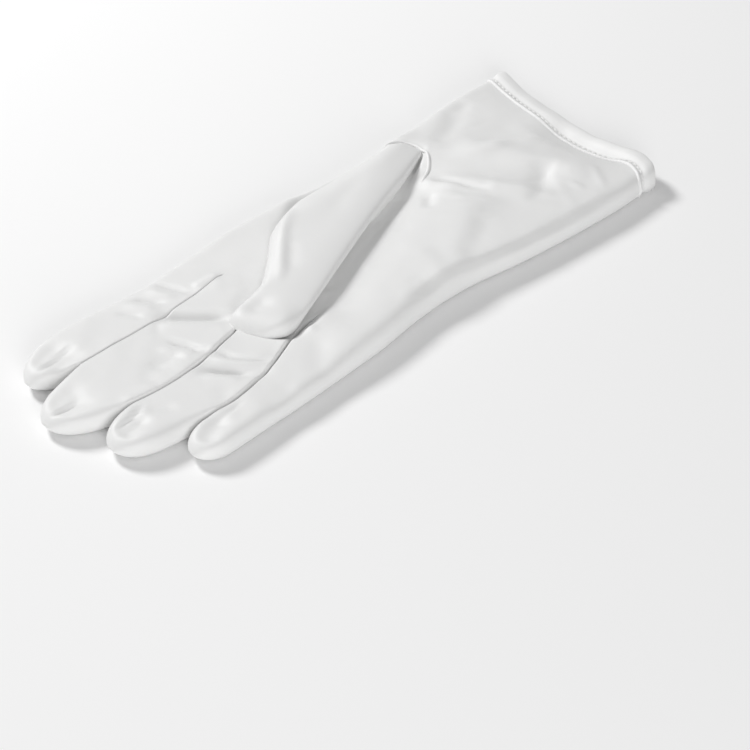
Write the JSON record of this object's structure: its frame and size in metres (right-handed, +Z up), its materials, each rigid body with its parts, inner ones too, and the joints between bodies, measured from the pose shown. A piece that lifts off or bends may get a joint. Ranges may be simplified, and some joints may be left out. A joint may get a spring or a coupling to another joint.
{
  "type": "white silk dress glove for the right hand",
  "caption": "Wrist-length white silk dress glove for the right hand, lying palm up with its thumb folded over the palm.",
  "frame": {"origin": "middle of the glove's length and width, on the surface that it lies on", "axes": "+Y from the mouth to the fingertips, +X to the thumb's side, +Z up out of the palm"},
  "size_m": [0.0994, 0.27, 0.0158],
  "materials": {
    "silk": "white silk knit with a soft satin sheen",
    "silk_hem": "the same silk, turned twice and stitched"
  },
  "bodies": {
    "root": {"hand": "silk", "thumb": "silk", "fourchette_little_ring": "silk", "fourchette_ring_middle": "silk", "fourchette_middle_index": "silk", "cuff_hem": "silk_hem"}
  },
  "joints": []
}
